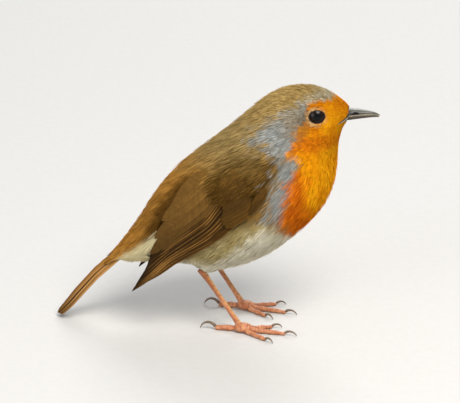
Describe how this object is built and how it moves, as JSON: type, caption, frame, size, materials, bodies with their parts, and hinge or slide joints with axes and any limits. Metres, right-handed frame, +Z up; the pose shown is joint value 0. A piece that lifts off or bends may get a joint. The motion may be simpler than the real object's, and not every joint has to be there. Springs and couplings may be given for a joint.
{
  "type": "robin",
  "caption": "Round-bodied small songbird standing still with its tail tip down, orange-red face and breast, brown back, wings and tail, pale belly, thin bill and slim legs.",
  "frame": {"origin": "on the ground, below the middle of the whole bird's bounding box", "axes": "+X the way the bird faces, +Y its left side, +Z up"},
  "size_m": [0.118, 0.0484, 0.0914],
  "materials": {
    "olive_feather": "soft, matt olive-brown feathers with fine darker streaks",
    "orange_feather": "soft, matt orange face and breast feathers edged with blue-grey",
    "white_feather": "soft, matt off-white belly and thigh feathers with a buff tint",
    "flight_feather": "smooth brown vanes with paler rufous fringes and a faint sheen",
    "tail_feather": "smooth rufous-brown vanes with dark shafts and pale edges",
    "bill_horn": "dark grey polished horn, paler along the cutting edges",
    "eye_black": "glossy, almost black",
    "leg_scale": "orange-brown scaled skin, satin",
    "claw_horn": "grey-brown polished horn"
  },
  "bodies": {
    "root": {"trunk": "olive_feather", "neck": "orange_feather", "head": "orange_feather", "bill_upper": "bill_horn", "bill_lower": "bill_horn", "tail": "tail_feather", "eye_right": "eye_black", "wing_coverts_right": "olive_feather", "wing_secondaries_right": "flight_feather", "wing_primaries_right": "flight_feather", "thigh_right": "white_feather", "tarsus_right": "leg_scale", "foot_right": "leg_scale", "toe_hind_right": "leg_scale", "claw_hind_right": "claw_horn", "toe_inner_right": "leg_scale", "claw_inner_right": "claw_horn", "toe_middle_right": "leg_scale", "claw_middle_right": "claw_horn", "toe_outer_right": "leg_scale", "claw_outer_right": "claw_horn", "eye_left": "eye_black", "wing_coverts_left": "olive_feather", "wing_secondaries_left": "flight_feather", "wing_primaries_left": "flight_feather", "thigh_left": "white_feather", "tarsus_left": "leg_scale", "foot_left": "leg_scale", "toe_hind_left": "leg_scale", "claw_hind_left": "claw_horn", "toe_inner_left": "leg_scale", "claw_inner_left": "claw_horn", "toe_middle_left": "leg_scale", "claw_middle_left": "claw_horn", "toe_outer_left": "leg_scale", "claw_outer_left": "claw_horn"}
  },
  "joints": []
}
